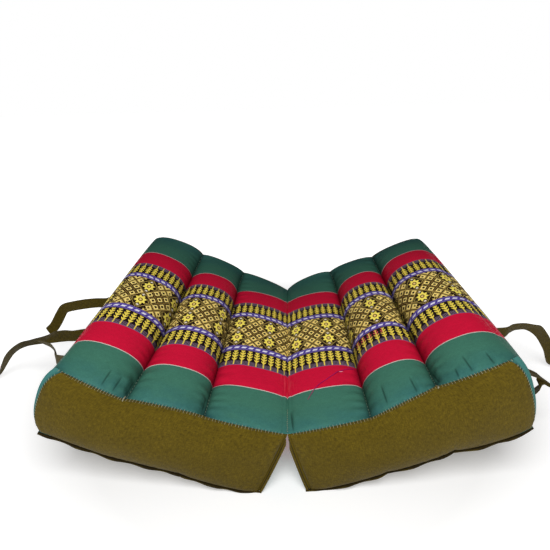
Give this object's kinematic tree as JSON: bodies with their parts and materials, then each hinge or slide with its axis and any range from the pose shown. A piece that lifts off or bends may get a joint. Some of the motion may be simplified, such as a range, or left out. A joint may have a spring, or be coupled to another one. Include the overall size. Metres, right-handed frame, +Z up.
{
  "type": "folding floor cushion",
  "caption": "Filled floor cushion in two channelled halves joined along a top crease, resting part folded as a shallow V, with plain end panels, welts and loose ties.",
  "frame": {"origin": "on the floor under the middle of the cushion without its ties, below the crease", "axes": "+Z up, +Y from the front end to the back end along the crease, +X to the right across the two halves"},
  "size_m": [1.0581, 0.4298, 0.2082],
  "materials": {
    "striped_cloth": "teal, red and gold brocade stripes, plain weave with a slight sheen",
    "panel_cloth": "matt olive plain weave",
    "welt_cloth": "matt dark olive seam edge",
    "tie_cloth": "matt olive ribbon"
  },
  "bodies": {
    "root": {"left_half": "striped_cloth", "right_half": "striped_cloth", "fold_strip": "striped_cloth", "left_front_panel": "panel_cloth", "left_back_panel": "panel_cloth", "right_front_panel": "panel_cloth", "right_back_panel": "panel_cloth", "left_front_welt": "welt_cloth", "left_back_welt": "welt_cloth", "right_front_welt": "welt_cloth", "right_back_welt": "welt_cloth", "left_base_welt": "welt_cloth", "right_base_welt": "welt_cloth", "left_back_tie": "tie_cloth", "left_middle_tie": "tie_cloth", "left_front_tie": "tie_cloth", "right_middle_tie": "tie_cloth", "right_front_tie": "tie_cloth"}
  },
  "joints": []
}
